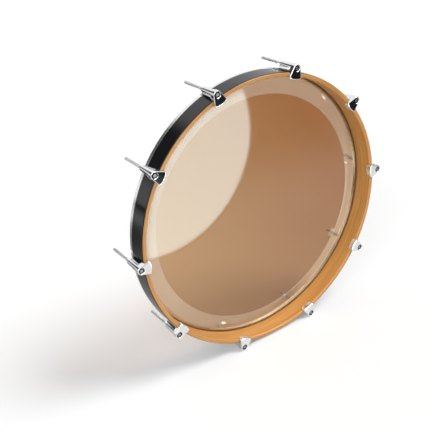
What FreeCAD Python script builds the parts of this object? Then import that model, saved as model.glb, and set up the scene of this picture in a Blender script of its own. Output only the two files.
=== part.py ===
import FreeCAD
import Part
import math
import os
from FreeCAD import Vector

# A bass-drum batter head as it is fitted: film, overlap ring, flesh hoop, counter hoop, claws and rods.
# Millimetres, +Z up. The head's axis lies along Y and the playing face looks along -Y.
# The origin is the centre of the flesh hoop's bore, halfway up the channel.

# Shell that the head drops over
SHELL_DIAMETER = 558.8
SHELL_CLEARANCE = 2.1

# Flesh hoop, a rolled channel with its mouth to the front
CHANNEL_WIDTH = 11.0
CHANNEL_HEIGHT = 11.0
CHANNEL_WALL = 1.5
CHANNEL_LIP = 5.0
CHANNEL_BEND = 2.0

# Playing film and the overlap ring behind its edge
FILM_THICKNESS = 0.25
FILM_RISE = 5.5
COLLAR_ANGLE = 35.0
COLLAR_BEND = 5.0
ROOT_BEND = 2.0
ROOT_GAP = 2.0
ROOT_SINK = 1.0
FOOT_BEND = 1.2
FOOT_CLEARANCE = 1.5
RING_THICKNESS = 0.25
RING_GAP = 0.1
RING_WIDTH = 31.5

# Counter hoop of plied wood
HOOP_LAP = 8.0
HOOP_WALL = 9.5
HOOP_DEPTH = 41.5
HOOP_EDGE = 3.0
HOOP_REAR_EDGE = 0.8

# Claw hooks
CLAW_COUNT = 10
CLAW_WIDTH = 28.0
CLAW_CORNER = 4.0
CLAW_CROWN = 40.0
CLAW_PLATE = 5.0
CLAW_EDGE = 1.6
CLAW_REAR_EDGE = 1.0
CLAW_LIP = 3.0
CLAW_GRIP = 7.0
CLAW_TAIL = 1.5
BOSS_WALL = 2.4
RECESS_CHAMFER = 0.6
SLEEVE_FRONT = 7.6
SLEEVE_REAR = 5.2
SLEEVE_EDGE = 0.8
WING_FRONT = 20.6
WING_REAR = 12.4
WING_FRONT_HEIGHT = 7.0
WING_REAR_HEIGHT = 3.4
WING_EDGE = 1.2

# Rubber pads inside the claws
PAD_THICKNESS = 1.2
PAD_WIDTH = 19.0
PAD_LEG = 6.0

# Tension rods and their washers
ROD_STANDOFF = 8.6
ROD_LENGTH = 101.6
ROD_SHANK = 5.3
ROD_THREAD = 6.0
THREAD_LENGTH = 55.0
THREAD_CHAMFER = 0.8
ROD_CLEARANCE = 0.4
COLLAR_RADIUS = 5.2
COLLAR_THICKNESS = 1.8
COLLAR_CHAMFER = 0.4
KEY_SQUARE = 6.35
KEY_HEIGHT = 8.0
KEY_CHAMFER = 1.0
KEY_EDGE = 0.6
HEAD_SINK = 1.0
WASHER_RADIUS = 5.6
WASHER_THICKNESS = 1.0
WASHER_CLEARANCE = 0.4

# Radii worked out from the sizes above
bore_r = SHELL_DIAMETER / 2 + SHELL_CLEARANCE
channel_r = bore_r + CHANNEL_WIDTH
fill_inner_r = bore_r + CHANNEL_WALL
fill_outer_r = channel_r - CHANNEL_WALL
root_r = fill_inner_r + ROOT_GAP
hoop_inner_r = channel_r - HOOP_LAP
hoop_outer_r = hoop_inner_r + HOOP_WALL
rod_circle_r = hoop_outer_r + ROD_STANDOFF
rod_hole_r = ROD_THREAD / 2 + ROD_CLEARANCE
recess_r = WASHER_RADIUS + WASHER_CLEARANCE
boss_r = recess_r + BOSS_WALL

# Places along the axis, front to back
seat_y = -CHANNEL_HEIGHT / 2
film_y = seat_y - FILM_RISE
fill_top_y = seat_y + CHANNEL_WALL
fill_floor_y = CHANNEL_HEIGHT / 2 - CHANNEL_WALL
hoop_front_y = seat_y - HOOP_DEPTH
pad_front_y = hoop_front_y - PAD_THICKNESS
claw_front_y = pad_front_y - CLAW_PLATE
claw_grip_y = pad_front_y + CLAW_GRIP
claw_rear_y = seat_y + CLAW_TAIL
head_y = claw_front_y + HEAD_SINK
collar_y = head_y + KEY_HEIGHT
rod_seat_y = collar_y + COLLAR_THICKNESS
recess_floor_y = rod_seat_y + WASHER_THICKNESS
rod_end_y = rod_seat_y + ROD_LENGTH

# The film's flat edge and the ring's inner edge, and the faces of both measured back from the film's middle
film_edge_r = root_r - (seat_y + ROOT_SINK - film_y) / math.tan(math.radians(COLLAR_ANGLE))
ring_inner_r = film_edge_r - RING_WIDTH
film_front = -FILM_THICKNESS / 2
film_back = FILM_THICKNESS / 2
ring_front = film_back + RING_GAP
ring_back = ring_front + RING_THICKNESS

ORIGIN = Vector(0, 0, 0)
AXIS = Vector(0, 1, 0)


def left_of(direction):
    """A direction in the section plane turned a quarter turn to its left."""
    return Vector(-direction.y, direction.x, 0)


def bend(before, corner, after, radius, offset=0.0):
    """Start, middle and end of the arc that rounds a corner, moved to the left by an offset."""
    way_in = (corner - before).normalize()
    way_out = (after - corner).normalize()
    turn = math.atan2(way_in.cross(way_out).z, way_in.dot(way_out))
    setback = radius * math.tan(abs(turn) / 2)
    start = corner - way_in * setback
    end = corner + way_out * setback
    side = math.copysign(1.0, turn)
    centre = start + left_of(way_in) * side * radius
    reach = radius - side * offset
    middle = centre + (corner - centre).normalize() * reach
    return start + left_of(way_in) * offset, middle, end + left_of(way_out) * offset


def run(points):
    """Edges through a chain of points, where a triple of points stands for an arc."""
    edges = []
    last = None
    for item in points:
        first = item[0] if isinstance(item, tuple) else item
        if last is not None and last.distanceToPoint(first) > 1e-6:
            edges.append(Part.makeLine(last, first))
        if isinstance(item, tuple):
            edges.append(Part.Arc(*item).toShape())
            last = item[2]
        else:
            last = item
    return edges


def section(corners):
    """A closed face in the section plane from (radius, axial place, rounding) corners."""
    points = [Vector(r, y, 0) for r, y, _ in corners]
    chain = []
    for i, (_, _, rounding) in enumerate(corners):
        after = points[(i + 1) % len(points)]
        chain.append(bend(points[i - 1], points[i], after, rounding) if rounding else points[i])
    first = chain[0][0] if isinstance(chain[0], tuple) else chain[0]
    return Part.Face(Part.Wire(run(chain + [first])))


def sheet_section(path, front, back):
    """A closed face between two offsets of an open path of (radius, axial place, bend radius) points."""
    points = [Vector(r, y, 0) for r, y, _ in path]
    start_side = left_of((points[1] - points[0]).normalize())
    end_side = left_of((points[-1] - points[-2]).normalize())
    sides = []
    for offset in (front, back):
        chain = [points[0] + start_side * offset]
        for i in range(1, len(path) - 1):
            chain.append(bend(points[i - 1], points[i], points[i + 1], path[i][2], offset))
        chain.append(points[-1] + end_side * offset)
        sides.append(chain)
    there, back_again = sides
    return_chain = [item[::-1] if isinstance(item, tuple) else item for item in reversed(back_again)]
    return Part.Face(Part.Wire(run(there + return_chain + [there[0]])))


def turned(face, angle=360.0):
    """A face of the section plane turned about the head's axis, evenly to both sides of that plane."""
    solid = face.revolve(ORIGIN, AXIS, angle)
    if angle < 360.0:
        solid.rotate(ORIGIN, AXIS, -angle / 2)
    return solid


def film_path(start_r):
    """The line that the film follows from a start radius out over the shell's edge and into the channel."""
    foot_y = fill_floor_y - FOOT_CLEARANCE
    return [
        (start_r, film_y, 0),
        (film_edge_r, film_y, COLLAR_BEND),
        (root_r, seat_y + ROOT_SINK, ROOT_BEND),
        (root_r, foot_y, FOOT_BEND),
        (fill_outer_r - FOOT_CLEARANCE, foot_y, 0),
    ]


def batter_film():
    return turned(sheet_section(film_path(0), film_front, film_back))


def overlap_ring():
    return turned(sheet_section(film_path(ring_inner_r), ring_front, ring_back))


def flesh_hoop():
    """The channel: a short inner wall, a floor, and an outer wall whose lip the counter hoop bears on."""
    rear_y = CHANNEL_HEIGHT / 2
    inside_bend = CHANNEL_BEND - CHANNEL_WALL
    return turned(section([
        (bore_r, fill_top_y, 0),
        (bore_r, rear_y, CHANNEL_BEND),
        (channel_r, rear_y, CHANNEL_BEND),
        (channel_r, seat_y, CHANNEL_BEND),
        (channel_r - CHANNEL_LIP, seat_y, 0),
        (channel_r - CHANNEL_LIP, fill_top_y, 0),
        (fill_outer_r, fill_top_y, inside_bend),
        (fill_outer_r, fill_floor_y, inside_bend),
        (fill_inner_r, fill_floor_y, inside_bend),
        (fill_inner_r, fill_top_y, 0),
    ]))


def channel_resin():
    """The fill of the channel, with one slot for the rims of the film and the ring."""
    inside_bend = CHANNEL_BEND - CHANNEL_WALL
    fill = turned(section([
        (fill_inner_r, fill_top_y, 0),
        (fill_inner_r, fill_floor_y, inside_bend),
        (fill_outer_r, fill_floor_y, inside_bend),
        (fill_outer_r, fill_top_y, inside_bend),
    ]))
    return fill.cut(turned(sheet_section(film_path(ring_inner_r), film_front, ring_back)))


def hoop_section(grow, rear_y, rear_edge):
    """The counter hoop's section, grown all round by the thickness of what lies on it."""
    return section([
        (hoop_inner_r - grow, hoop_front_y - grow, HOOP_EDGE + grow),
        (hoop_inner_r - grow, rear_y, rear_edge),
        (hoop_outer_r + grow, rear_y, rear_edge),
        (hoop_outer_r + grow, hoop_front_y - grow, HOOP_EDGE + grow),
    ])


def counter_hoop():
    return turned(hoop_section(0, seat_y, HOOP_REAR_EDGE))


def round_bar(radius, front_y, rear_y, rear_radius=None):
    """A round or tapered bar on the rod's axis."""
    place = Vector(rod_circle_r, front_y, 0)
    if rear_radius is None:
        return Part.makeCylinder(radius, rear_y - front_y, place, AXIS)
    return Part.makeCone(radius, rear_radius, rear_y - front_y, place, AXIS)


def circle_point(centre, radius, direction):
    return centre + direction.normalize() * radius


def claw_outline():
    """The claw's front plate: a crowned edge over the film, two round corners and a round boss at the rod."""
    tip_x = hoop_inner_r - PAD_THICKNESS - CLAW_LIP
    crown = Vector(tip_x + CLAW_CROWN, claw_front_y, 0)
    boss = Vector(rod_circle_r, claw_front_y, 0)
    corner_z = CLAW_WIDTH / 2 - CLAW_CORNER
    corner_x = crown.x - math.sqrt((CLAW_CROWN - CLAW_CORNER) ** 2 - corner_z ** 2)
    chain = []
    for side in (1, -1):
        corner = Vector(corner_x, claw_front_y, side * corner_z)
        along = boss - corner
        lean = math.acos((CLAW_CORNER - boss_r) / along.Length)
        across = Vector(-along.z, 0, along.x) * side
        out = along * math.cos(lean) + across * math.sin(lean)
        crown_end = circle_point(crown, CLAW_CROWN, corner - crown)
        corner_end = circle_point(corner, CLAW_CORNER, out)
        middle = circle_point(corner, CLAW_CORNER, (crown_end - corner) + (corner_end - corner))
        boss_end = circle_point(boss, boss_r, out)
        chain.append([(crown_end, middle, corner_end), boss_end])
    (upper_corner, upper_boss), (lower_corner, lower_boss) = chain
    boss_arc = (upper_boss, boss + Vector(boss_r, 0, 0), lower_boss)
    crown_arc = (lower_corner[0], crown - Vector(CLAW_CROWN, 0, 0), upper_corner[0])
    return Part.Face(Part.Wire(run([upper_corner, boss_arc, lower_corner[::-1], crown_arc])))


def edges_at(shape, y, reach):
    """The edges of a shape that lie within a reach of one place along the axis."""
    return [e for e in shape.Edges if e.BoundBox.YMin > y - reach and e.BoundBox.YMax < y + reach]


def claw_wings():
    """The flanges that lie along the hoop beside the sleeve, narrower and lower towards the rear."""
    base_x = hoop_outer_r
    top_x = hoop_outer_r + PAD_THICKNESS
    corners = [(claw_grip_y, WING_FRONT / 2), (claw_rear_y, WING_REAR / 2)]
    corners += [(y, -z) for y, z in reversed(corners)]
    plan = [Vector(base_x, y, z) for y, z in corners]
    side = [
        Vector(base_x, claw_grip_y, -WING_FRONT / 2),
        Vector(top_x + WING_FRONT_HEIGHT, claw_grip_y, -WING_FRONT / 2),
        Vector(top_x + WING_REAR_HEIGHT, claw_rear_y, -WING_FRONT / 2),
        Vector(base_x, claw_rear_y, -WING_FRONT / 2),
    ]
    height = Vector(PAD_THICKNESS + WING_FRONT_HEIGHT, 0, 0)
    tall = Part.Face(Part.makePolygon(plan + plan[:1])).extrude(height)
    sloped = Part.Face(Part.makePolygon(side + side[:1])).extrude(Vector(0, 0, WING_FRONT))
    wings = tall.common(sloped)
    crests = [e for e in wings.Edges if e.BoundBox.XMin > top_x and e.BoundBox.YLength > WING_EDGE]
    return wings.makeFillet(WING_EDGE, crests)


def claw():
    """A die-cast hook: front plate with a well for the rod's head, lip, sleeve and two wings."""
    block = claw_outline().extrude(AXIS * (claw_grip_y - claw_front_y))
    block = block.makeFillet(CLAW_EDGE, edges_at(block, claw_front_y, CLAW_EDGE))
    block = block.makeFillet(CLAW_REAR_EDGE, edges_at(block, claw_grip_y, CLAW_REAR_EDGE))
    sleeve = round_bar(SLEEVE_FRONT, claw_grip_y - CLAW_REAR_EDGE, claw_rear_y, SLEEVE_REAR)
    sleeve = sleeve.makeFillet(SLEEVE_EDGE, edges_at(sleeve, claw_rear_y, SLEEVE_EDGE))
    cast = block.fuse([sleeve, claw_wings()]).removeSplitter()
    reach = math.degrees(math.atan(CLAW_WIDTH / hoop_inner_r)) * 2
    seat = turned(hoop_section(PAD_THICKNESS, claw_rear_y + CLAW_PLATE, 0), reach)
    hole = round_bar(rod_hole_r, claw_front_y - CLAW_PLATE, claw_rear_y + CLAW_PLATE)
    recess = round_bar(recess_r, claw_front_y - CLAW_PLATE, recess_floor_y)
    mouth = round_bar(recess_r + RECESS_CHAMFER, claw_front_y, claw_front_y + RECESS_CHAMFER, recess_r)
    return cast.cut([seat, hole, recess, mouth])


def claw_pad():
    """A rubber saddle over the hoop's front edge, between the hoop and the claw."""
    sweep = math.degrees(PAD_WIDTH / hoop_inner_r)
    blank = turned(hoop_section(PAD_THICKNESS, hoop_front_y + PAD_LEG, 0), sweep)
    core = turned(hoop_section(0, seat_y, HOOP_REAR_EDGE), sweep * 2)
    return blank.cut(core)


def rod_washer():
    disc = round_bar(WASHER_RADIUS, rod_seat_y, recess_floor_y)
    return disc.cut(round_bar(rod_hole_r, rod_seat_y, recess_floor_y))


def tension_rod():
    """A square key head on a round collar, a plain shank and a thicker threaded end."""
    thread_y = rod_end_y - THREAD_LENGTH
    corner = Vector(rod_circle_r - KEY_SQUARE / 2, head_y, -KEY_SQUARE / 2)
    head = Part.makeBox(KEY_SQUARE, KEY_HEIGHT, KEY_SQUARE, corner)
    head = head.makeFillet(KEY_EDGE, [e for e in head.Edges if e.BoundBox.YLength > KEY_EDGE])
    head_circle_r = KEY_SQUARE / math.sqrt(2)
    head = head.common(round_bar(head_circle_r - KEY_CHAMFER, head_y, collar_y, head_circle_r + KEY_HEIGHT))
    collar = round_bar(COLLAR_RADIUS, collar_y, rod_seat_y)
    collar = collar.makeChamfer(COLLAR_CHAMFER, edges_at(collar, collar_y, COLLAR_CHAMFER))
    shank = round_bar(ROD_SHANK / 2, rod_seat_y, thread_y)
    thread = round_bar(ROD_THREAD / 2, thread_y, rod_end_y)
    ends = [e for e in thread.Edges if e.BoundBox.YLength < THREAD_CHAMFER]
    thread = thread.makeChamfer(THREAD_CHAMFER, ends)
    return head.fuse([collar, shank, thread]).removeSplitter()


def around(shape, step):
    """A copy of a shape made at +X, carried round the head's axis towards +Z by whole steps."""
    copy = shape.copy()
    copy.rotate(ORIGIN, -AXIS, step * 360.0 / CLAW_COUNT)
    return copy


def build():
    nodes = {
        "batter_film": batter_film(),
        "overlap_ring": overlap_ring(),
        "flesh_hoop": flesh_hoop(),
        "channel_resin": channel_resin(),
        "counter_hoop": counter_hoop(),
        "claw_pads": Part.makeCompound([around(claw_pad(), i) for i in range(CLAW_COUNT)]),
        "rod_washers": Part.makeCompound([around(rod_washer(), i) for i in range(CLAW_COUNT)]),
    }
    one_claw = claw()
    one_rod = tension_rod()
    for i in range(CLAW_COUNT):
        nodes[f"claw_{i + 1:02d}"] = around(one_claw, i)
        nodes[f"tension_rod_{i + 1:02d}"] = around(one_rod, i)
    return nodes


os.makedirs("parts", exist_ok=True)
for name, shape in build().items():
    shape.exportStep(f"parts/{name}.step")
    print(name, "solids", len(shape.Solids), "volume", round(shape.Volume, 2), "valid", shape.isValid())
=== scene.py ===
# %% [markdown]
# # A bass-drum head, dressed in Blender
#
# The part is a drum head as it is fitted: a clear film in an aluminium flesh hoop, a plied counter hoop
# over it, and claws with tension rods that pull the hoop back. The solids arrive as a fixed frame, in
# metres, and this script gives them their looks. The head's axis lies along Y and the playing face looks
# along -Y.

# %% Load the frame
import math

import bmesh
import bpy
from mathutils import Matrix, Quaternion, Vector


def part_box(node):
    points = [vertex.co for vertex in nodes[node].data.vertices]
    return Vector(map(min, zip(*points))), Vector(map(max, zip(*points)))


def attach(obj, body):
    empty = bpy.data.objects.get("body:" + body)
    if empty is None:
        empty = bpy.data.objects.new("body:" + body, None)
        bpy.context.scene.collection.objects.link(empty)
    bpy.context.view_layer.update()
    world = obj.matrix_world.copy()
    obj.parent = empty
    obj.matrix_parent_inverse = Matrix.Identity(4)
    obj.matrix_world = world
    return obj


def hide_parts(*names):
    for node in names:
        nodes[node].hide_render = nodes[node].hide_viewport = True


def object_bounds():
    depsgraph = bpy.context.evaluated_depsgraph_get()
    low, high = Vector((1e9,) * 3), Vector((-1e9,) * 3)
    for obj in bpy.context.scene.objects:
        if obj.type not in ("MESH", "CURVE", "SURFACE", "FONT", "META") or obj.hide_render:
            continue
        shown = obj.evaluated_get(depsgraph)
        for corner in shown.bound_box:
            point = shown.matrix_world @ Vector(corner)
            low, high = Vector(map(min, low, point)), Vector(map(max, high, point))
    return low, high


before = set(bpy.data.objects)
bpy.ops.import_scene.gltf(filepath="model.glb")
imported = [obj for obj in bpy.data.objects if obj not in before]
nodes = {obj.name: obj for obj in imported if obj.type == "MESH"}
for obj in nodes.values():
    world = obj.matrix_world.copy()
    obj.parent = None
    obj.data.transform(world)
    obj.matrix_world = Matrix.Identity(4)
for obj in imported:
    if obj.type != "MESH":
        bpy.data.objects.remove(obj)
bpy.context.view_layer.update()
MM = 0.001

# %% [markdown]
# ## Sizes
#
# The solids were drawn in millimetres. Sizes that a turned section or a finish needs are repeated here in
# metres, and the rest is read from the frame. These few place the film, its overlap ring and the two hoops.
# Sizes that only one step needs stand in that step.

# %% Film and hoop sizes
CHANNEL_WALL = 1.5 * MM
CHANNEL_WIDTH = 11.0 * MM
COLLAR_ANGLE = math.radians(35.0)
ROOT_GAP = 2.0 * MM
ROOT_SINK = 1.0 * MM
FILM_RISE = 5.5 * MM
RING_WIDTH = 31.5 * MM
HOOP_WALL = 9.5 * MM

channel_low, channel_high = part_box("flesh_hoop")
hoop_low, hoop_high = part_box("counter_hoop")
CHANNEL_RADIUS = channel_high.x
SEAT_Y = channel_low.y
BORE_RADIUS = CHANNEL_RADIUS - CHANNEL_WIDTH
ROOT_RADIUS = BORE_RADIUS + CHANNEL_WALL + ROOT_GAP
FILM_Y = SEAT_Y - FILM_RISE
FILM_EDGE = ROOT_RADIUS - (FILM_RISE + ROOT_SINK) / math.tan(COLLAR_ANGLE)
RING_INNER = FILM_EDGE - RING_WIDTH
HOOP_OUTER = hoop_high.x
HOOP_INNER = HOOP_OUTER - HOOP_WALL
HOOP_FRONT = hoop_low.y
print("film flat to", round(FILM_EDGE, 5), "with the ring from", round(RING_INNER, 5))
print("counter hoop from", round(HOOP_INNER, 5), "to", round(HOOP_OUTER, 5))

# %% [markdown]
# ## Small helpers for node trees
#
# Every finish here is procedural. Its nodes could be added and wired one call at a time, but a finish of
# thirty nodes would then fill pages, so a few helpers keep the code readable. `put` adds a node and fills
# its inputs: a socket is linked, and anything else becomes the input's value.

# %% Node helpers


def set_input(tree, socket, value):
    """Link another node's output to a socket, or set the socket's value."""
    if isinstance(value, bpy.types.NodeSocket):
        tree.links.new(value, socket)
    else:
        socket.default_value = value


def put(tree, kind, inputs=None, **settings):
    """Add a node to a tree. inputs maps a socket's name or number to a value or an output."""
    made = tree.nodes.new(kind)
    for name, value in settings.items():
        setattr(made, name, value)
    for name, value in (inputs or {}).items():
        set_input(tree, made.inputs[name], value)
    return made


def feed(tree, node, **values):
    """Set or link a node's inputs by name, with underscores for spaces."""
    for label, value in values.items():
        set_input(tree, node.inputs[label.replace("_", " ")], value)


def maths(tree, operation, a, b=None, c=None):
    """One Math node; returns its result."""
    given = {i: v for i, v in enumerate((a, b, c)) if v is not None}
    return put(tree, "ShaderNodeMath", given, operation=operation).outputs[0]


def mix_colour(tree, factor, a, b):
    """Blend two colours; returns the result."""
    return put(tree, "ShaderNodeMix", {0: factor, 6: a, 7: b}, data_type="RGBA").outputs[2]


def mix_value(tree, factor, a, b):
    """Blend two values; returns the result."""
    return put(tree, "ShaderNodeMix", {0: factor, 2: a, 3: b}).outputs[0]


def spread(tree, value, low, high, out_low=0.0, out_high=1.0):
    """Map a value's range onto another range, clamped."""
    given = {0: value, 1: low, 2: high, 3: out_low, 4: out_high}
    return put(tree, "ShaderNodeMapRange", given).outputs[0]


def noise(tree, vector, scale, detail=3.0, roughness=0.5):
    """Plain three-dimensional noise; returns its value."""
    given = {"Vector": vector, "Scale": scale, "Detail": detail, "Roughness": roughness}
    return put(tree, "ShaderNodeTexNoise", given).outputs[0]


def bumped(tree, height, strength, depth):
    """A Bump node; returns its normal."""
    given = {"Strength": strength, "Distance": depth, "Height": height}
    return put(tree, "ShaderNodeBump", given).outputs[0]


print("node helpers ready")

# %% Group and material helpers


def new_group(name, given, made):
    """A shader node group with named inputs and outputs; returns the tree and its two end nodes."""
    tree = bpy.data.node_groups.new(name, "ShaderNodeTree")
    for label, value in given.items():
        socket = tree.interface.new_socket(label, in_out="INPUT", socket_type="NodeSocketFloat")
        socket.default_value = value
    for label in made:
        tree.interface.new_socket(label, in_out="OUTPUT", socket_type="NodeSocketFloat")
    return tree, tree.nodes.new("NodeGroupInput"), tree.nodes.new("NodeGroupOutput")


def use_group(tree, group, **values):
    """Place a shader node group in a material with its own values; returns its outputs."""
    made = put(tree, "ShaderNodeGroup", node_tree=group)
    feed(tree, made, **values)
    return made.outputs


def new_material(name):
    """A new material; returns it with its node tree and its Principled shader."""
    made = bpy.data.materials.new(name)
    made.use_nodes = True
    tree = made.node_tree
    return made, tree, tree.nodes["Principled BSDF"]


print("group and material helpers ready")

# %% [markdown]
# ## Three effects that several finishes share
#
# Most pieces of a drum head are rings, and their grain, brushing and coatings run round the rim. The first
# group turns Object coordinates into rim coordinates: how far round, how far out and how far along the
# axis. Each finish could work them out for itself, but a group is built once and mended once.

# %% Rim coordinates
RIM_RADIUS = 0.29


def make_rim_coordinates():
    """How far round the rim, how far out from the axis and how far along it a point is, in metres."""
    tree, _, last = new_group("rim coordinates", {}, ("Along", "Radius", "Depth"))
    place = put(tree, "ShaderNodeTexCoord").outputs["Object"]
    x, y, z = put(tree, "ShaderNodeSeparateXYZ", {0: place}).outputs
    turn = maths(tree, "ARCTAN2", z, x)
    squares = maths(tree, "ADD", maths(tree, "MULTIPLY", x, x), maths(tree, "MULTIPLY", z, z))
    along = maths(tree, "MULTIPLY", turn, RIM_RADIUS)
    feed(tree, last, Along=along, Radius=maths(tree, "SQRT", squares), Depth=y)
    return tree


rim_coordinates = make_rim_coordinates()
print("made the group", rim_coordinates.name)

# %% [markdown]
# The second group is the trace that handling leaves: faint clouds and hairline scuffs, which keep a
# polished surface from looking computed. A picture of scratches would show its edges and repeats. Noise
# that is stretched one way has neither.

# %% Fine wear


def make_fine_wear():
    """A cloud mask, a hairline mask and a height, from Object coordinates."""
    given = {"Cloud scale": 40.0, "Line scale": 900.0}
    tree, first, last = new_group("fine wear", given, ("Cloud", "Lines", "Height"))
    place = put(tree, "ShaderNodeTexCoord").outputs["Object"]
    cloud = spread(tree, noise(tree, place, first.outputs["Cloud scale"], 4.0, 0.6), 0.35, 0.7)
    leaning = {"Vector": place, "Angle": 0.6}
    bent = put(tree, "ShaderNodeVectorRotate", leaning, rotation_type="Y_AXIS").outputs[0]
    stretch = {0: bent, 1: (1.0, 0.06, 0.35)}
    long = put(tree, "ShaderNodeVectorMath", stretch, operation="MULTIPLY").outputs[0]
    streaks = noise(tree, long, first.outputs["Line scale"], 2.0, 0.7)
    lines = spread(tree, streaks, 0.62, 0.78)
    feed(tree, last, Cloud=cloud, Lines=lines, Height=maths(tree, "MULTIPLY_ADD", lines, -0.3, cloud))
    return tree


fine_wear = make_fine_wear()
print("made the group", fine_wear.name)

# %% [markdown]
# The third group marks the round wells in the claws, each of which holds a rod's square head. There the
# metal is painted dark, as painted shade for the deep recess, and made rougher, as polish and plating hardly
# reach down there. A second material on those faces would need them picked out one by one. Here the angle
# round the rim is folded into one tenth of a turn, and one formula finds all ten wells.

# %% Claw wells
CLAW_COUNT = 10
ROD_STANDOFF = 8.6 * MM
WELL_RADIUS = 6.0 * MM
WELL_DEPTH = 11.8 * MM
WELL_SKIN = 0.1 * MM
WELL_FADE = 0.2 * MM
DULL_FROM = 0.3 * MM
DULL_TO = 1.4 * MM
CLAW_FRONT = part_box("claw_01")[0].y
ROD_CIRCLE = HOOP_OUTER + ROD_STANDOFF


def make_claw_well_shade():
    """A mask that is 1 on the wall and floor of the claws' wells, where shade is painted, from rim
    coordinates.
    """
    tree, first, last = new_group("claw well shade", {"Along": 0.0, "Radius": 0.0, "Depth": 0.0}, ("Mask",))
    radius = first.outputs["Radius"]
    step = 2 * math.pi / CLAW_COUNT
    turn = maths(tree, "DIVIDE", first.outputs["Along"], RIM_RADIUS)
    folded = maths(tree, "FLOORED_MODULO", maths(tree, "ADD", turn, step / 2), step)
    turned = maths(tree, "SUBTRACT", folded, step / 2)
    across = maths(tree, "MULTIPLY", radius, maths(tree, "SINE", turned))
    out = maths(tree, "MULTIPLY", radius, maths(tree, "COSINE", turned))
    beyond = maths(tree, "SUBTRACT", out, ROD_CIRCLE)
    squares = maths(tree, "MULTIPLY_ADD", across, across, maths(tree, "MULTIPLY", beyond, beyond))
    wall = WELL_RADIUS + WELL_SKIN
    inside = spread(tree, maths(tree, "SQRT", squares), wall, wall + WELL_FADE, 1.0, 0.0)
    below_plate = maths(tree, "SUBTRACT", first.outputs["Depth"], CLAW_FRONT)
    sunk = spread(tree, below_plate, DULL_FROM, DULL_TO)
    above_floor = spread(tree, below_plate, WELL_DEPTH, WELL_DEPTH + WELL_FADE, 1.0, 0.0)
    feed(tree, last, Mask=maths(tree, "MULTIPLY", inside, maths(tree, "MULTIPLY", sunk, above_floor)))
    return tree


claw_well_shade = make_claw_well_shade()
print("made the group", claw_well_shade.name, "for rods on a circle of radius", round(ROD_CIRCLE, 5))

# %% [markdown]
# ## Chrome for the claws
#
# The claws are die castings, polished and chromed. Chrome is a mirror, so its look comes from what stands
# around it. A flat metal with no roughness would pass from afar, but real plating has a roughness that
# drifts a little, and a trace of the casting's waviness in its normal. The wells' mask then darkens it with
# painted shade and dulls it, on top of the rest.

# %% Chrome
SCUFF_DEPTH = 0.4 * MM
# Painted shade: the dark tone laid over the claws' wells
WELL_SHADE_TONE = (0.035, 0.035, 0.038)
WELL_ROUGHNESS = 0.5


def chrome(name, tone, polish, waviness):
    """Plated metal of one tone, with a little wear in its colour, roughness and normal."""
    made, tree, shader = new_material(name)
    wear = use_group(tree, fine_wear, Cloud_scale=55.0, Line_scale=1400.0)
    rough = maths(tree, "MULTIPLY_ADD", wear["Cloud"], 0.05, polish)
    rough = maths(tree, "MULTIPLY_ADD", wear["Lines"], 0.06, rough)
    dull = tuple(v * 0.93 for v in tone)
    colour = mix_colour(tree, wear["Cloud"], (*tone, 1), (*dull, 1))
    normal = bumped(tree, wear["Height"], waviness, SCUFF_DEPTH)
    feed(tree, shader, Base_Color=colour, Roughness=rough, Metallic=1.0, Normal=normal)
    return made


def darken_and_dull(metal, mask_of, tone, roughness):
    """Darken and dull a metal where a mask says, on top of what already feeds its shader."""
    tree = metal.node_tree
    shader = tree.nodes["Principled BSDF"]
    mask = mask_of(tree)
    bright = shader.inputs["Base Color"].links[0].from_socket
    polish = shader.inputs["Roughness"].links[0].from_socket
    feed(tree, shader, Base_Color=mix_colour(tree, mask, bright, (*tone, 1)),
         Roughness=mix_value(tree, mask, polish, roughness))


def well_shade_mask(tree):
    """Place the claw well shade group in a material; returns its mask for the painted shade."""
    rim = use_group(tree, rim_coordinates)
    return use_group(tree, claw_well_shade, Along=rim["Along"], Radius=rim["Radius"], Depth=rim["Depth"])["Mask"]


claw_chrome = chrome("claw chrome", (0.88, 0.89, 0.90), 0.035, 0.06)
# Painted shade in the claws' wells, where the plating is also made duller
darken_and_dull(claw_chrome, well_shade_mask, WELL_SHADE_TONE, WELL_ROUGHNESS)
print("made", claw_chrome.name)

# %% [markdown]
# ## Rolled aluminium for the flesh hoop
#
# The channel is rolled from strip, so its drawing lines run round the rim. An anisotropic shader could
# stretch the highlights, but the lines themselves would be missing from close by. Noise that is long along
# the rim and tight across it gives them to the roughness, the colour and a slight bump.

# %% Aluminium
LINE_DEPTH = 0.2 * MM
LINE_STRETCH = 5.0
LINE_COUNT = 1800.0


def rolled_aluminium():
    """Bright strip with drawing lines round the rim."""
    made, tree, shader = new_material("rolled aluminium")
    rim = use_group(tree, rim_coordinates)
    along = maths(tree, "MULTIPLY", rim["Along"], LINE_STRETCH)
    across = maths(tree, "MULTIPLY", rim["Radius"], LINE_COUNT)
    deep = maths(tree, "MULTIPLY", rim["Depth"], LINE_COUNT)
    place = put(tree, "ShaderNodeCombineXYZ", {0: along, 1: across, 2: deep}).outputs[0]
    lines = noise(tree, place, 1.0, 4.0, 0.65)
    bright = spread(tree, lines, 0.3, 0.7)
    colour = mix_colour(tree, bright, (0.86, 0.87, 0.88, 1), (0.95, 0.95, 0.95, 1))
    rough = spread(tree, lines, 0.3, 0.7, 0.14, 0.26)
    normal = bumped(tree, lines, 0.12, LINE_DEPTH)
    feed(tree, shader, Base_Color=colour, Roughness=rough, Metallic=1.0, Normal=normal)
    return made


hoop_aluminium = rolled_aluminium()
print("made", hoop_aluminium.name)

# %% [markdown]
# ## Plied maple with a black lacquered outside
#
# The counter hoop is bent from maple plies. Inside and on its front edge the wood shows through an amber
# varnish, with grain that runs round the rim and glue lines between the plies on the edge. The outside is
# sprayed black to a gloss, up to the outer corner. Two materials could meet there, but along a row of
# faces. One material that is split by the radius lets the spray's edge wander with the grain.

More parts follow.
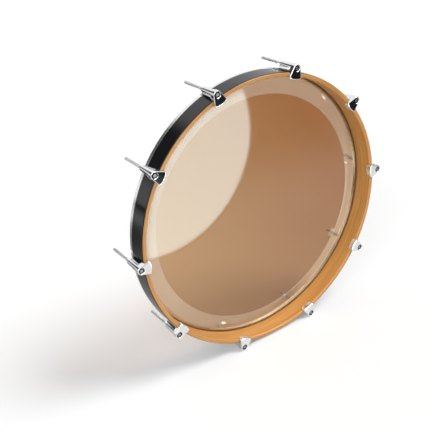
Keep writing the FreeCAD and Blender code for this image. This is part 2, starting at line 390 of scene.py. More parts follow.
# %% Maple
PLY_COUNT = 6
HOOP_EDGE = 3.0 * MM
GRAIN_STRETCH = 9.0
GRAIN_COUNT = 420.0
GRAIN_DEPTH = 0.3 * MM
GRAIN_DARK = (0.41, 0.170, 0.036, 1)
GRAIN_LIGHT = (0.71, 0.371, 0.108, 1)
FIGURE_TONE = (0.45, 0.175, 0.032, 1)
CROSS_PLY_TONE = (0.24, 0.09, 0.02, 1)
GLUE_TONE = (0.10, 0.04, 0.012, 1)


def maple_grain(tree, rim):
    """Grain that runs round the rim; returns its value and the coordinates it was drawn on."""
    along = maths(tree, "MULTIPLY", rim["Along"], GRAIN_STRETCH)
    deep = maths(tree, "MULTIPLY", rim["Depth"], GRAIN_COUNT)
    out = maths(tree, "MULTIPLY", rim["Radius"], GRAIN_COUNT)
    place = put(tree, "ShaderNodeCombineXYZ", {0: along, 1: out, 2: deep}).outputs[0]
    return noise(tree, place, 1.0, 5.0, 0.62), place


def varnished_maple(tree, rim, grain, place):
    """The wood's colour: grain and figure everywhere, plies and glue lines on the front edge."""
    broad = put(tree, "ShaderNodeVectorMath", {0: place, 1: (0.6, 0.05, 0.08)}, operation="MULTIPLY")
    figure = noise(tree, broad.outputs[0], 1.0, 2.0, 0.5)
    wood = put(tree, "ShaderNodeValToRGB", {0: grain})
    for stop, position, tone in zip(wood.color_ramp.elements, (0.28, 0.74), (GRAIN_DARK, GRAIN_LIGHT)):
        stop.position = position
        stop.color = tone
    warm = mix_colour(tree, spread(tree, figure, 0.3, 0.7, 0.0, 0.45), wood.outputs[0], FIGURE_TONE)

    ply = maths(tree, "DIVIDE", maths(tree, "SUBTRACT", rim["Radius"], HOOP_INNER), HOOP_WALL / PLY_COUNT)
    every_other = maths(tree, "FLOORED_MODULO", maths(tree, "FLOOR", ply), 2.0)
    layered = mix_colour(tree, maths(tree, "MULTIPLY", every_other, 0.22), warm, CROSS_PLY_TONE)
    from_glue = maths(tree, "ABSOLUTE", maths(tree, "SUBTRACT", maths(tree, "FRACT", ply), 0.5))
    glue = spread(tree, from_glue, 0.44, 0.49, 0.0, 0.55)
    behind_edge = maths(tree, "SUBTRACT", rim["Depth"], HOOP_FRONT)
    edge_only = spread(tree, behind_edge, 0.6 * HOOP_EDGE, HOOP_EDGE, 1.0, 0.0)
    timber = mix_colour(tree, edge_only, warm, layered)
    return mix_colour(tree, maths(tree, "MULTIPLY", glue, edge_only), timber, GLUE_TONE)


print("maple of", PLY_COUNT, "plies, each", round(HOOP_WALL / PLY_COUNT / MM, 2), "mm thick")

# %% Lacquer over the maple
LACQUER_TONE = (0.006, 0.006, 0.007, 1)
SCUFFED_TONE = (0.016, 0.016, 0.018, 1)
LACQUER_INSET = 1.15 * MM
LACQUER_FADE = 0.2 * MM
LACQUER_RAGGED = 0.5 * MM


def plied_maple():
    """Varnished maple inside and in front, black lacquer outside."""
    made, tree, shader = new_material("plied maple")
    rim = use_group(tree, rim_coordinates)
    grain, place = maple_grain(tree, rim)
    timber = varnished_maple(tree, rim, grain, place)
    ragged = maths(tree, "MULTIPLY", maths(tree, "SUBTRACT", grain, 0.5), LACQUER_RAGGED)
    sprayed = HOOP_OUTER - LACQUER_INSET
    black = spread(tree, maths(tree, "ADD", rim["Radius"], ragged), sprayed, sprayed + LACQUER_FADE)
    wear = use_group(tree, fine_wear, Cloud_scale=14.0, Line_scale=700.0)
    lacquer = mix_colour(tree, wear["Lines"], LACQUER_TONE, SCUFFED_TONE)
    colour = mix_colour(tree, black, timber, lacquer)
    rough_wood = spread(tree, grain, 0.3, 0.7, 0.26, 0.38)
    rough_black = maths(tree, "MULTIPLY_ADD", wear["Cloud"], 0.06, 0.10)
    rough = mix_value(tree, black, rough_wood, rough_black)
    height = maths(tree, "MULTIPLY", grain, maths(tree, "SUBTRACT", 1.0, black))
    normal = bumped(tree, height, 0.12, GRAIN_DEPTH)
    feed(tree, shader, Base_Color=colour, Roughness=rough, Specular_IOR_Level=0.4, Normal=normal)
    return made


hoop_maple = plied_maple()
print("made", hoop_maple.name)

# %% [markdown]
# ## The film and its overlap ring
#
# The playing film is clear polyester a quarter of a millimetre thick, pressed into a collar at its edge. A
# single face with a Transparent shader would be quick, but it has no reflection of its own. So the film is
# glass to the renderer: a thin wall with two faces, each with its own reflection. Lamps should still reach
# what is behind it, so shadow rays meet a tinted Transparent shader instead. The film has a warm tint,
# paler over the overlap ring, where the two films are frosted by the gap between them. Painted sheen makes
# the tint paler still towards the lower left, and over the ring towards the bottom, where the front panel's
# reflection fades out, so that it is deeper to the upper right.

# %% Clear film
FILM_INDEX = 1.57
DEEP_TINT = (0.357, 0.156, 0.060)
# Painted sheen: the pale tints lighten the film where the front panel's reflection fades out
PALE_SHEEN_TINT = (0.505, 0.296, 0.140)
DEEPER_WAY = (0.83, 0.0, 0.56)
DEEPER_REACH = 0.85 * RING_INNER
HIGH_RIM_TINT = (0.53, 0.365, 0.25)
# Painted sheen: the ring's lower tint is paler
LOW_RIM_SHEEN_TINT = (0.75, 0.57, 0.40)
HIGH_RIM_Z = 0.3 * RING_INNER
LOW_RIM_Z = -0.5 * RING_INNER
RIM_FADE = 0.3 * MM
RING_TINT = (0.93, 0.90, 0.86)
FILM_SHADE = (0.426, 0.337, 0.286)
RING_SHADE = (0.93, 0.915, 0.90)


def see_through(name, tint_of, shade, polish, waviness):
    """A thin clear film. tint_of(tree) returns its tint with any painted sheen, a colour or a socket, and
    shade tints its shadow.
    """
    made, tree, shader = new_material(name)
    wear = use_group(tree, fine_wear, Cloud_scale=9.0, Line_scale=420.0)
    rough = maths(tree, "MULTIPLY_ADD", wear["Cloud"], 0.03, polish)
    rough = maths(tree, "MULTIPLY_ADD", wear["Lines"], 0.03, rough)
    normal = bumped(tree, wear["Height"], waviness, SCUFF_DEPTH)
    feed(tree, shader, Base_Color=tint_of(tree), Roughness=rough, IOR=FILM_INDEX, Transmission_Weight=1.0,
         Normal=normal)
    clear = put(tree, "ShaderNodeBsdfTransparent", {"Color": (*shade, 1)})
    shadow = put(tree, "ShaderNodeLightPath").outputs["Is Shadow Ray"]
    joined = put(tree, "ShaderNodeMixShader", {0: shadow, 1: shader.outputs[0], 2: clear.outputs[0]})
    tree.links.new(joined.outputs[0], tree.nodes["Material Output"].inputs["Surface"])
    return made


def film_tint_and_sheen(tree):
    """Warm over the open middle, paler where the ring lies behind the film, with painted sheen to the lower
    left and, over the ring, to the bottom.
    """
    rim = use_group(tree, rim_coordinates)
    place = put(tree, "ShaderNodeTexCoord").outputs["Object"]
    measured = {0: place, 1: DEEPER_WAY}
    along = put(tree, "ShaderNodeVectorMath", measured, operation="DOT_PRODUCT").outputs["Value"]
    # Painted sheen: paler towards the lower left
    depth = spread(tree, along, -DEEPER_REACH, DEEPER_REACH)
    middle = mix_colour(tree, depth, (*PALE_SHEEN_TINT, 1), (*DEEP_TINT, 1))
    height = put(tree, "ShaderNodeSeparateXYZ", {0: place}).outputs[2]
    # Painted sheen over the ring: paler towards the bottom
    rise = spread(tree, height, LOW_RIM_Z, HIGH_RIM_Z)
    over_ring = mix_colour(tree, rise, (*LOW_RIM_SHEEN_TINT, 1), (*HIGH_RIM_TINT, 1))
    band = spread(tree, rim["Radius"], RING_INNER - RIM_FADE, RING_INNER + RIM_FADE)
    return mix_colour(tree, band, middle, over_ring)


def ring_tint(tree):
    """One pale tint all over."""
    return (*RING_TINT, 1)


clear_film = see_through("clear film", film_tint_and_sheen, FILM_SHADE, 0.02, 0.05)
ring_film = see_through("ring film", ring_tint, RING_SHADE, 0.12, 0.08)
print("made", clear_film.name, "and", ring_film.name)

# %% [markdown]
# ## Chromed rods, rubber, washers and resin
#
# The rods are chromed like the claws, and their heads take the same painted shade and dullness in the
# wells. The thread is darker and duller towards the bottom of its grooves: the grooves could be found from
# the shape by ray tracing, but the thread's own `groove` attribute says where they are at no cost. The small
# pieces take plain finishes with a little wear.

# %% Rod chrome
GROOVE_TONE = (0.16, 0.15, 0.14)
GROOVE_ROUGHNESS = 0.35
GROOVE_SHARE = 0.8


def groove_mask(tree):
    """Most of the way to 1 at the bottom of the thread's grooves."""
    groove = put(tree, "ShaderNodeAttribute", attribute_name="groove").outputs["Fac"]
    return maths(tree, "MULTIPLY", groove, GROOVE_SHARE)


rod_chrome = chrome("rod chrome", (0.82, 0.83, 0.85), 0.06, 0.04)
# The rod heads in the wells take the same painted shade
darken_and_dull(rod_chrome, well_shade_mask, WELL_SHADE_TONE, WELL_ROUGHNESS)
darken_and_dull(rod_chrome, groove_mask, GROOVE_TONE, GROOVE_ROUGHNESS)
print("made", rod_chrome.name)

# %% Rubber, steel and resin
MOTTLE_DEPTH = 0.3 * MM


def plain_finish(name, light, dark, rough, scale, metal=0.0, bumpiness=0.1):
    """A finish between two tones, with clouds and scuffs of one scale."""
    made, tree, shader = new_material(name)
    wear = use_group(tree, fine_wear, Cloud_scale=scale, Line_scale=scale * 12.0)
    colour = mix_colour(tree, wear["Cloud"], (*light, 1), (*dark, 1))
    gloss = maths(tree, "MULTIPLY_ADD", wear["Cloud"], 0.12, rough)
    normal = bumped(tree, wear["Height"], bumpiness, MOTTLE_DEPTH)
    feed(tree, shader, Base_Color=colour, Roughness=gloss, Metallic=metal, Normal=normal)
    return made


pad_rubber = plain_finish("pad rubber", light=(0.022, 0.022, 0.023), dark=(0.035, 0.034, 0.033), rough=0.62,
                          scale=300.0, bumpiness=0.25)
washer_steel = plain_finish("washer steel", light=(0.62, 0.63, 0.64), dark=(0.48, 0.48, 0.48), rough=0.24,
                            scale=200.0, metal=1.0)
cast_resin = plain_finish("cast resin", light=(0.56, 0.47, 0.31), dark=(0.46, 0.37, 0.22), rough=0.35,
                          scale=60.0)
print("made", pad_rubber.name, washer_steel.name, "and", cast_resin.name)

# %% [markdown]
# ## Turned pieces
#
# The film, its overlap ring, the flesh hoop and the counter hoop are all rings of one section. A section is
# a list of corners (radius, place along the axis, rounding), and each rounding becomes an arc by formula. A
# revolve modifier could turn it, but a direct loop keeps the poles clean and needs no cleaning afterwards.
# A short extra step on both sides of an arc holds the flat faces flat under smooth shading.

# %% Sections
ARC_STEPS = 8
HOLD = 0.25 * MM


def rounded_path(corners, closed):
    """Points and left-hand normals along a line whose corners are rounded."""
    spots = [Vector((r, y)) for r, y, _ in corners]
    count = len(spots)
    line = []
    for i, (_, _, rounding) in enumerate(corners):
        if not closed and i in (0, count - 1):
            way = (spots[min(i + 1, count - 1)] - spots[max(i - 1, 0)]).normalized()
            line.append((spots[i], Vector((-way.y, way.x))))
            continue
        way_in = (spots[i] - spots[i - 1]).normalized()
        way_out = (spots[(i + 1) % count] - spots[i]).normalized()
        turn = math.atan2(way_in.cross(way_out), way_in.dot(way_out))
        setback = rounding * math.tan(abs(turn) / 2)
        start = spots[i] - way_in * setback
        side = math.copysign(1.0, turn)
        left = Vector((-way_in.y, way_in.x))
        if not rounding:
            half = Matrix.Rotation(turn / 2, 2)
            line.append((spots[i], half @ left))
            continue
        centre = start + left * side * rounding
        line.append((start - way_in * HOLD, left))
        for step in range(ARC_STEPS + 1):
            lean = Matrix.Rotation(turn * step / ARC_STEPS, 2)
            line.append((centre + lean @ (start - centre), lean @ left))
        left_out = Vector((-way_out.y, way_out.x))
        line.append((spots[i] + way_out * (setback + HOLD), left_out))
    return line


def ring_section(corners):
    """The outline of a ring's section, all round."""
    return [spot for spot, _ in rounded_path(corners, closed=True)]


def sheet_section(path, front, back):
    """The outline of a thin sheet between two offsets of an open line."""
    line = rounded_path(path, closed=False)
    return [p + n * front for p, n in line] + [p + n * back for p, n in reversed(line)]


print("sections have arcs of", ARC_STEPS, "steps")

# %% Turning
TURN_STEPS = 360
ON_AXIS = 0.001 * MM
SHARP_ANGLE = math.radians(30.0)


def finish_piece(name, mesh, material):
    """Shade a bmesh smooth with sharp edges kept, and make it an object at the origin."""
    for face in mesh.faces:
        face.smooth = True
    for edge in mesh.edges:
        edge.smooth = len(edge.link_faces) == 2 and edge.calc_face_angle() < SHARP_ANGLE
    data = bpy.data.meshes.new(name)
    mesh.to_mesh(data)
    mesh.free()
    data.materials.append(material)
    made = bpy.data.objects.new(name, data)
    bpy.context.scene.collection.objects.link(made)
    return made


def turned_ring(mesh, spot):
    """The vertices of one point of a section, turned about the Y axis. On the axis it stays one vertex."""
    if spot.x < ON_AXIS:
        return [mesh.verts.new((0, spot.y, 0))]
    angles = [2 * math.pi * step / TURN_STEPS for step in range(TURN_STEPS)]
    return [mesh.verts.new((spot.x * math.cos(a), spot.y, spot.x * math.sin(a))) for a in angles]


def turn_section(name, outline, material):
    """A closed section turned about the Y axis into one mesh piece."""
    mesh = bmesh.new()
    rings = [turned_ring(mesh, spot) for spot in outline]
    for here, there in zip(rings, rings[1:] + rings[:1]):
        if len(here) == len(there) == 1:
            continue
        for step in range(TURN_STEPS):
            after = (step + 1) % TURN_STEPS
            near = [here[step % len(here)], here[after % len(here)]]
            far = [there[after % len(there)], there[step % len(there)]]
            mesh.faces.new(list(dict.fromkeys(near + far)))
    bmesh.ops.recalc_face_normals(mesh, faces=mesh.faces)
    return finish_piece(name, mesh, material)


def place_piece(piece, body, slot, *replaced):
    """Hand a piece to the frame: the body it rides on, its slot, which is not used, and the CAD nodes it
    stands for.
    """
    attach(piece, body)
    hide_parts(*replaced)
    print(piece.name, "on", body, "with", len(piece.data.polygons), "faces")


print("sections are turned in", TURN_STEPS, "steps")

# %% [markdown]
# ### Film and overlap ring
#
# Both follow one line: flat across the middle, down the slope of the collar, and into the channel, where
# the rim is bent outwards so that the resin can hold it.

# %% Film and ring
COLLAR_BEND = 5.0 * MM
ROOT_BEND = 2.0 * MM
FOOT_BEND = 1.2 * MM
FOOT_CLEARANCE = 1.5 * MM
FILM_HALF = 0.125 * MM
RING_GAP = 0.1 * MM
RING_THICKNESS = 0.25 * MM
FILL_TOP = SEAT_Y + CHANNEL_WALL
FILL_FLOOR = channel_high.y - CHANNEL_WALL
FOOT_Y = FILL_FLOOR - FOOT_CLEARANCE
FOOT_RADIUS = CHANNEL_RADIUS - CHANNEL_WALL - FOOT_CLEARANCE
RING_FRONT = FILM_HALF + RING_GAP

film_line = [
    (0.0, FILM_Y, 0.0),
    (FILM_EDGE, FILM_Y, COLLAR_BEND),
    (ROOT_RADIUS, SEAT_Y + ROOT_SINK, ROOT_BEND),
    (ROOT_RADIUS, FOOT_Y, FOOT_BEND),
    (FOOT_RADIUS, FOOT_Y, 0.0),
]
ring_line = [(RING_INNER, FILM_Y, 0.0)] + film_line[1:]
film = turn_section("film", sheet_section(film_line, -FILM_HALF, FILM_HALF), clear_film)
place_piece(film, "head", "clear_film", "batter_film")
ring = turn_section("film_ring", sheet_section(ring_line, RING_FRONT, RING_FRONT + RING_THICKNESS), ring_film)
place_piece(ring, "head", "ring_film", "overlap_ring")

# %% [markdown]
# ### Flesh hoop
#
# The channel is one strip of aluminium, bent round the resin: a short wall inside, a floor, a tall wall
# outside and a lip that the counter hoop presses on.

# %% Flesh hoop
CHANNEL_LIP = 5.0 * MM
CHANNEL_BEND = 2.0 * MM
BORE_EDGE = 0.3 * MM
inner_bend = CHANNEL_BEND - CHANNEL_WALL
channel = turn_section("channel", ring_section([
    (BORE_RADIUS, FILL_TOP, BORE_EDGE),
    (BORE_RADIUS, -SEAT_Y, CHANNEL_BEND),
    (CHANNEL_RADIUS, -SEAT_Y, CHANNEL_BEND),
    (CHANNEL_RADIUS, SEAT_Y, CHANNEL_BEND),
    (CHANNEL_RADIUS - CHANNEL_LIP, SEAT_Y, 0.0),
    (CHANNEL_RADIUS - CHANNEL_LIP, FILL_TOP, 0.0),
    (CHANNEL_RADIUS - CHANNEL_WALL, FILL_TOP, inner_bend),
    (CHANNEL_RADIUS - CHANNEL_WALL, FILL_FLOOR, inner_bend),
    (BORE_RADIUS + CHANNEL_WALL, FILL_FLOOR, inner_bend),
    (BORE_RADIUS + CHANNEL_WALL, FILL_TOP, 0.0),
]), hoop_aluminium)
place_piece(channel, "head", "hoop_aluminium", "flesh_hoop")

# %% [markdown]
# ### Counter hoop
#
# A plain plied ring with well-rounded front corners. Its rear face bears on the flesh hoop. It could be a
# bevelled tube, but as a turned section its rounding is an exact arc.

# %% Counter hoop
HOOP_REAR_EDGE = 0.8 * MM
hoop = turn_section("wood_hoop", ring_section([
    (HOOP_INNER, HOOP_FRONT, HOOP_EDGE),
    (HOOP_INNER, SEAT_Y, HOOP_REAR_EDGE),
    (HOOP_OUTER, SEAT_Y, HOOP_REAR_EDGE),
    (HOOP_OUTER, HOOP_FRONT, HOOP_EDGE),
]), hoop_maple)
place_piece(hoop, "head", "plied_maple", "counter_hoop")

# %% [markdown]
# ## Threaded rods
#
# The solids carry the thread as a plain cylinder, which is right for collision but not for the eye. A bump
# in the finish would leave the outline smooth, and a screw modifier would leave the thread's two ends open.
# Here the thread is grown by Geometry Nodes: a flat grid is rolled round the rod and sheared by one pitch,
# so its rows run along the helix and four rows give each turn a flat crest and a flat root. Near the shank
# the crest sinks into the bar, and at the far end it is cut by the chamfer, as a rolled thread is.

# %% Thread nodes
THREAD_AROUND = 24
THREAD_ROWS = 4
THREAD_PITCH = 1.0 * MM
THREAD_CREST = 3.0 * MM
THREAD_ROOT = 2.4 * MM
THREAD_LENGTH = 55.0 * MM
THREAD_CHAMFER = 0.8 * MM
GROWN_TURNS = 2.0
WELD = 0.002 * MM


def make_rolled_thread():
    """A rolled thread along Y with a chamfered end, from its sizes."""
    tree = bpy.data.node_groups.new("rolled_thread", "GeometryNodeTree")
    tree.interface.new_socket("Geometry", in_out="INPUT", socket_type="NodeSocketGeometry")
    for label in ("Crest", "Root", "Pitch", "Length", "Chamfer"):
        tree.interface.new_socket(label, in_out="INPUT", socket_type="NodeSocketFloat")
    tree.interface.new_socket("Start", in_out="INPUT", socket_type="NodeSocketVector")
    tree.interface.new_socket("Finish", in_out="INPUT", socket_type="NodeSocketMaterial")
    tree.interface.new_socket("Geometry", in_out="OUTPUT", socket_type="NodeSocketGeometry")
    size = tree.nodes.new("NodeGroupInput").outputs
    last = tree.nodes.new("NodeGroupOutput")

    # A unit grid: columns go once round the rod, rows go along the helix
    turns = maths(tree, "ROUND", maths(tree, "DIVIDE", size["Length"], size["Pitch"]))
    row_count = maths(tree, "MULTIPLY_ADD", turns, float(THREAD_ROWS), float(THREAD_ROWS))
    counts = {"Size X": 1.0, "Size Y": 1.0, "Vertices X": THREAD_AROUND + 1,
              "Vertices Y": maths(tree, "ADD", row_count, 1.0)}
    grid = put(tree, "GeometryNodeMeshGrid", counts)
    place = put(tree, "GeometryNodeInputPosition").outputs[0]
    across, along, _ = put(tree, "ShaderNodeSeparateXYZ", {0: place}).outputs
    around = maths(tree, "ADD", across, 0.5)
    row = maths(tree, "ROUND", maths(tree, "MULTIPLY", maths(tree, "ADD", along, 0.5), row_count))
    lap = maths(tree, "FLOOR", maths(tree, "DIVIDE", maths(tree, "ADD", row, 0.5), float(THREAD_ROWS)))
    phase = maths(tree, "MULTIPLY_ADD", lap, -float(THREAD_ROWS), row)

    # Rows 0 and 1 are the root's two edges and rows 2 and 3 the crest's, at sixteenths of a pitch
    past = [maths(tree, "SUBTRACT", phase, float(i)) for i in range(THREAD_ROWS - 1)]
    step = [put(tree, "ShaderNodeClamp", {0: rows}).outputs[0] for rows in past]
    part = maths(tree, "MULTIPLY", step[0], 4 / 16)
    part = maths(tree, "MULTIPLY_ADD", step[1], 5 / 16, part)
    part = maths(tree, "MULTIPLY_ADD", step[2], 2 / 16, part)
    laps = maths(tree, "ADD", maths(tree, "ADD", lap, part), maths(tree, "SUBTRACT", around, 1.0))
    raw = maths(tree, "MULTIPLY", laps, size["Pitch"])
    reach = maths(tree, "MINIMUM", maths(tree, "MAXIMUM", raw, 0.0), size["Length"])

    # The crest grows out of the bar over its first turns and is cut by the chamfer at the far end
    grown = spread(tree, laps, 0.0, GROWN_TURNS)
    rise = maths(tree, "MULTIPLY", maths(tree, "SUBTRACT", size["Crest"], size["Root"]), grown)
    radius = maths(tree, "MULTIPLY_ADD", step[1], rise, size["Root"])
    tip = maths(tree, "SUBTRACT", size["Crest"], size["Chamfer"])
    cone = maths(tree, "ADD", tip, maths(tree, "SUBTRACT", size["Length"], reach))
    radius = maths(tree, "MINIMUM", radius, cone)

    angle = maths(tree, "MULTIPLY", around, 2 * math.pi)
    x = maths(tree, "MULTIPLY", radius, maths(tree, "SINE", angle))
    z = maths(tree, "MULTIPLY", radius, maths(tree, "COSINE", angle))
    rolled = put(tree, "ShaderNodeCombineXYZ", {0: x, 1: reach, 2: z}).outputs[0]
    groove = maths(tree, "SUBTRACT", 1.0, step[1])
    mark = {"Geometry": grid.outputs[0], "Name": "groove", "Value": groove}
    marked = put(tree, "GeometryNodeStoreNamedAttribute", mark)
    helix = put(tree, "GeometryNodeSetPosition", {"Geometry": marked.outputs[0], "Position": rolled})
    disc = put(tree, "GeometryNodeMeshCircle", {"Vertices": THREAD_AROUND, "Radius": tip}, fill_type="NGON")
    end = put(tree, "ShaderNodeCombineXYZ", {1: size["Length"]}).outputs[0]
    turned_end = {"Geometry": disc.outputs[0], "Translation": end, "Rotation": (-math.pi / 2, 0.0, 0.0)}
    cap = put(tree, "GeometryNodeTransform", turned_end)
    both = put(tree, "GeometryNodeJoinGeometry")
    tree.links.new(helix.outputs[0], both.inputs[0])
    tree.links.new(cap.outputs[0], both.inputs[0])
    welded = put(tree, "GeometryNodeMergeByDistance", {"Geometry": both.outputs[0], "Distance": WELD})
    moved = put(tree, "GeometryNodeTransform", {"Geometry": welded.outputs[0], "Translation": size["Start"]})
    real = put(tree, "GeometryNodeRealizeInstances", {"Geometry": moved.outputs[0]})
    dressed = put(tree, "GeometryNodeSetMaterial", {"Geometry": real.outputs[0], "Material": size["Finish"]})
    tree.links.new(dressed.outputs[0], last.inputs[0])
    return tree


rolled_thread = make_rolled_thread()
print("thread nodes", len(rolled_thread.nodes))

# %% [markdown]
# Each rod turns in its claw, so each is a mesh of its own. Its head and shank could be modelled again, but
# the CAD node's copy already has them: it is cut off where the thread starts, its rim is tucked in there,
# and the grown thread goes on behind. The two rims that are still open, one inside the other, are filled,
# so that a rod is closed.

# %% Rods
ROD_NUMBERS = range(1, CLAW_COUNT + 1)
SEAM = 0.001 * MM
TUCK_SHARE = 0.9
TUCK_DEPTH = 0.4 * MM


def grow_thread(start):
    """Run the thread nodes for one rod and return a plain mesh."""
    seed = bpy.data.objects.new("thread_seed", bpy.data.meshes.new("thread_seed"))
    bpy.context.scene.collection.objects.link(seed)
    nodes_on = seed.modifiers.new("thread", "NODES")
    nodes_on.node_group = rolled_thread
    values = {"Crest": THREAD_CREST, "Root": THREAD_ROOT, "Pitch": THREAD_PITCH, "Length": THREAD_LENGTH,
              "Chamfer": THREAD_CHAMFER, "Start": start, "Finish": rod_chrome}
    for socket in rolled_thread.interface.items_tree:
        if socket.in_out == "INPUT" and socket.name in values:
            nodes_on[socket.identifier] = values[socket.name]
    ready = bpy.context.evaluated_depsgraph_get()
    grown = bpy.data.meshes.new_from_object(seed.evaluated_get(ready))
    bpy.data.objects.remove(seed)
    return grown


def threaded_rod(number):
    """One rod: the CAD node's head and shank with a grown thread behind them."""
    node = nodes[f"tension_rod_{number:02d}"]
    turn = 2 * math.pi * (number - 1) / CLAW_COUNT
    axis = Vector((ROD_CIRCLE * math.cos(turn), 0.0, ROD_CIRCLE * math.sin(turn)))
    thread_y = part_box(node.name)[1].y - THREAD_LENGTH
    mesh = bmesh.new()
    mesh.verts.layers.float.new("groove")
    mesh.from_mesh(node.data)
    bmesh.ops.remove_doubles(mesh, verts=mesh.verts, dist=SEAM)
    behind = [f for f in mesh.faces if f.calc_center_median().y > thread_y]
    bmesh.ops.delete(mesh, geom=behind, context="FACES")
    rim = [e for e in mesh.edges if e.is_boundary]
    grown = bmesh.ops.extrude_edge_only(mesh, edges=rim)["geom"]
    for vert in (v for v in grown if isinstance(v, bmesh.types.BMVert)):
        out = Vector((vert.co.x - axis.x, 0.0, vert.co.z - axis.z)).normalized()
        deeper = Vector((0.0, vert.co.y + TUCK_DEPTH, 0.0))
        vert.co = axis + out * (TUCK_SHARE * THREAD_ROOT) + deeper
    mesh.from_mesh(grow_thread(axis + Vector((0.0, thread_y, 0.0))))
    bmesh.ops.holes_fill(mesh, edges=[e for e in mesh.edges if e.is_boundary])
    bmesh.ops.recalc_face_normals(mesh, faces=mesh.faces)
    return finish_piece(f"rod_{number:02d}_threaded", mesh, rod_chrome)


for number in ROD_NUMBERS:
    place_piece(threaded_rod(number), f"rod_{number:02d}", "rod_chrome", f"tension_rod_{number:02d}")

# %% [markdown]
# ## Dressing the pieces that stay as they are
#
# Claws, pads, washers and resin could be modelled again here, but the CAD meshes already have their fillets
# and fits, so they only take a finish.

# %% Finishes for CAD nodes


def dress(name, material):
    """Give a CAD node its finish."""
    node = nodes[name]
    node.data.materials.clear()
    node.data.materials.append(material)


for number in ROD_NUMBERS:
    dress(f"claw_{number:02d}", claw_chrome)
dress("claw_pads", pad_rubber)
dress("rod_washers", washer_steel)
dress("channel_resin", cast_resin)
print("dressed", len(ROD_NUMBERS), "claws, the pads, the washers and the resin")

# %% [markdown]
# ## Stage
#
# A white studio: a floor just under the lowest claw, a white world, a broad key lamp from the upper right
# and a softer fill from the left. The floor could be plain white, but then it would burn out or take no
# shadow. It glows a little for the rays that see it, so that it reads as white paper and still takes a
# shadow. Chrome is only as good as what it mirrors, so for glossy rays alone the paper and the sky fade
# softly to dark in a few places, as they would where a real studio's paper ends.

# %% Floor
FLOOR_GAP = 0.5 * MM
FLOOR_HALF = 14.0
PAPER_TONE = (0.7, 0.7, 0.7, 1)
PAPER_END_TONE = (0.01, 0.01, 0.01, 1)
GLOW = 0.14
FRONT_END = ((0.7, -2.45, 0.0), 1.55, 2.05)
BACK_END = ((0.0, 1.6, 0.0), 0.9, 1.7)
NEAR_PAPER = ((0.0, 0.0, 0.0), 2.2, 8.0)


def soft_spot(tree, vector, centre, inner, outer):
    """1 within the inner distance of a point, falling to 0 at the outer distance."""
    between = {0: vector, 1: centre}
    distance = put(tree, "ShaderNodeVectorMath", between, operation="DISTANCE").outputs["Value"]
    fall = {0: distance, 1: inner, 2: outer, 3: 1.0, 4: 0.0}
    return put(tree, "ShaderNodeMapRange", fall, interpolation_type="SMOOTHSTEP").outputs[0]


def studio_floor():
    """White paper that glows a little where it is seen, and ends softly where it is only mirrored."""
    made, tree, shader = new_material("studio floor")
    rays = put(tree, "ShaderNodeLightPath").outputs
    place = put(tree, "ShaderNodeTexCoord").outputs["Object"]
    front = soft_spot(tree, place, *FRONT_END)
    back = soft_spot(tree, place, *BACK_END)
    far = maths(tree, "SUBTRACT", 1.0, soft_spot(tree, place, *NEAR_PAPER))
    ended = maths(tree, "MAXIMUM", far, maths(tree, "MAXIMUM", front, back))
    mirrored = maths(tree, "GREATER_THAN", rays["Is Glossy Ray"], rays["Is Transmission Ray"])
    paper = mix_colour(tree, maths(tree, "MULTIPLY", ended, mirrored), PAPER_TONE, PAPER_END_TONE)
    seen = maths(tree, "MAXIMUM", rays["Is Camera Ray"], rays["Is Transmission Ray"])
    feed(tree, shader, Base_Color=paper, Roughness=1.0, Specular_IOR_Level=0.0,
         Emission_Color=(1, 1, 1, 1), Emission_Strength=maths(tree, "MULTIPLY", seen, GLOW))
    return made


def stage_piece(name, points, material):
    """A flat stage piece from its corner points."""
    data = bpy.data.meshes.new(name)
    data.from_pydata(points, [], [list(range(len(points)))])
    data.materials.append(material)
    made = bpy.data.objects.new(name, data)
    bpy.context.scene.collection.objects.link(made)
    return made


low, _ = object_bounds()
corners = [(x * FLOOR_HALF, y * FLOOR_HALF, 0.0) for x, y in ((-1, -1), (1, -1), (1, 1), (-1, 1))]
floor = stage_piece("floor", corners, studio_floor())
floor.location.z = low[2] - FLOOR_GAP
print("floor at", round(floor.location.z, 4))

# %% [markdown]
# The sky is white to the camera. Lit surfaces get half of that, so that the lamps still shape them, and
# mirrors see five dark patches, each by its direction and by where its edge starts and ends. A picture of a
# studio could do the same, but this needs no file.

# %% Sky
AMBIENT = 0.5
MIRRORED_SKY = 0.95
MIRRORED_DARK = 0.06
DARK_PATCHES = {
    "behind on the left": ((-0.39, 0.81, 0.43), 0.16, 0.36),
    "left": ((-0.9, -0.4, 0.2), 0.2, 0.5),
    "right": ((0.95, 0.15, 0.25), 0.2, 0.5),
    "front": ((0.0, -1.0, 0.05), 0.15, 0.4),
    "rear": ((0.0, 1.0, 0.05), 0.15, 0.4),
}

world = bpy.data.worlds.new("studio")
bpy.context.scene.world = world
world.use_nodes = True
sky = world.node_tree
rays = put(sky, "ShaderNodeLightPath").outputs
way = put(sky, "ShaderNodeTexCoord").outputs["Generated"]
dark = 0.0
for centre, inner, outer in DARK_PATCHES.values():
    dark = maths(sky, "MAXIMUM", soft_spot(sky, way, centre, inner, outer), dark)
mirrored = spread(sky, dark, 0.0, 1.0, MIRRORED_SKY, MIRRORED_DARK)
around = mix_value(sky, rays["Is Glossy Ray"], AMBIENT, mirrored)
clear_view = maths(sky, "MAXIMUM", rays["Is Camera Ray"], rays["Is Transmission Ray"])
feed(sky, sky.nodes["Background"], Color=(1, 1, 1, 1), Strength=maths(sky, "MAXIMUM", around, clear_view))
print("sky with", len(DARK_PATCHES), "dark patches")

# %% [markdown]
# Two lamps. Area lamps would need a place and a size, and would light one side of the rim more than the
# other. Suns with a wide angle give even light and soft shadows.

# %% Lamps


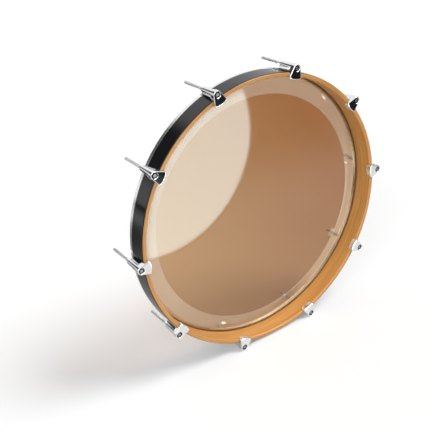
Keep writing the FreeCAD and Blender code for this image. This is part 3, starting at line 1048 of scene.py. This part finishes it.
def broad_sun(name, energy, angle, way):
    """A sun of some width in degrees, shining along way."""
    made = bpy.data.objects.new(name, bpy.data.lights.new(name, "SUN"))
    made.data.energy = energy
    made.data.angle = math.radians(angle)
    made.rotation_euler = Vector(way).to_track_quat("-Z", "Y").to_euler()
    bpy.context.scene.collection.objects.link(made)
    print("lamp", name, "of", energy, "and", angle, "degrees")


broad_sun("key", energy=2.2, angle=26.0, way=(-0.75, 0.55, -1.15))
broad_sun("fill", energy=1.3, angle=50.0, way=(0.75, 0.8, -0.7))

# %% [markdown]
# A clear film shows mostly what it mirrors. Two light panels, which only reflections see, lay a pale sheen
# over a part of it: one in front, as in the photograph, and one behind. A lamp could do it too, but its
# outline would be a square or a disc. The outline of each panel is a circle, kept within a second circle so
# that the claws beside the film stay dark. Both edges are soft, so that the sheen ends as a reflection does
# and not as a cut shape.

# %% Light panels
PANEL_RADIUS = 0.298
PANEL_FADE = 0.016
PANEL_REACH = 0.42
PANEL_STEPS = 96
PANEL_COLOUR = (0.84, 1.0, 0.97, 1)
UNLIT = (0, 0, 0, 1)
KEEP_RADIUS = 0.378
KEEP_X = 0.289
KEEP_Z = -0.270
KEEP_FADE = 0.04


def panel_light(name, panel_centre, keep_centre, strength):
    """A pale glow that fades towards the edges of both circles."""
    made, tree, shader = new_material(name)
    place = put(tree, "ShaderNodeTexCoord").outputs["Object"]
    within = soft_spot(tree, place, panel_centre, PANEL_RADIUS - PANEL_FADE, PANEL_RADIUS)
    kept = soft_spot(tree, place, keep_centre, KEEP_RADIUS - KEEP_FADE, KEEP_RADIUS)
    glow = mix_colour(tree, maths(tree, "MULTIPLY", within, kept), UNLIT, PANEL_COLOUR)
    feed(tree, shader, Base_Color=UNLIT, Specular_IOR_Level=0.0, Emission_Color=glow,
         Emission_Strength=strength)
    return made


def light_panel(name, panel_y, strength):
    """A flat light in front of or behind the film, in the outline that two circles share."""
    panel_centre = Vector((0.0, panel_y, 0.0))
    keep_centre = Vector((KEEP_X, panel_y, KEEP_Z))
    rim = []
    for step in range(PANEL_STEPS):
        angle = 2 * math.pi * step / PANEL_STEPS
        point = Vector((PANEL_RADIUS * math.cos(angle), panel_y, PANEL_RADIUS * math.sin(angle)))
        from_keep = point - keep_centre
        rim.append(keep_centre + from_keep * min(1.0, KEEP_RADIUS / from_keep.length))
    made = stage_piece(name, rim, panel_light(name, panel_centre, keep_centre, strength))
    made.visible_camera = False
    made.visible_diffuse = False
    made.visible_transmission = False
    made.visible_volume_scatter = False
    made.visible_shadow = False


light_panel("front panel", FILM_Y - PANEL_REACH, 7.2)
light_panel("rear panel", FILM_Y + PANEL_REACH, 4.2)
print("panels", PANEL_REACH, "m from the film")

# %% [markdown]
# ## Camera
#
# The view follows the photograph: from the front left and above, with the head turned a little clockwise. A
# Track To constraint could aim the camera, but it can't roll it, so the turn is worked out here.

# %% Camera
CAMERA_LENS = 66.17
CAMERA_PLACE = Vector((-0.83108, -1.21542, 0.77728))
CAMERA_AIM = Vector((-0.10213, -0.011, 0.02341))
CAMERA_ROLL = math.radians(-6.73)

camera = bpy.data.objects.new("camera", bpy.data.cameras.new("camera"))
camera.data.lens = CAMERA_LENS
camera.location = CAMERA_PLACE
facing = (CAMERA_AIM - CAMERA_PLACE).to_track_quat("-Z", "Y")
camera.rotation_mode = "QUATERNION"
camera.rotation_quaternion = facing @ Quaternion((0.0, 0.0, 1.0), CAMERA_ROLL)
bpy.context.scene.collection.objects.link(camera)
bpy.context.scene.camera = camera
bpy.context.scene.view_settings.view_transform = "Standard"
print("camera", round((CAMERA_AIM - CAMERA_PLACE).length, 3), "m from its aim")
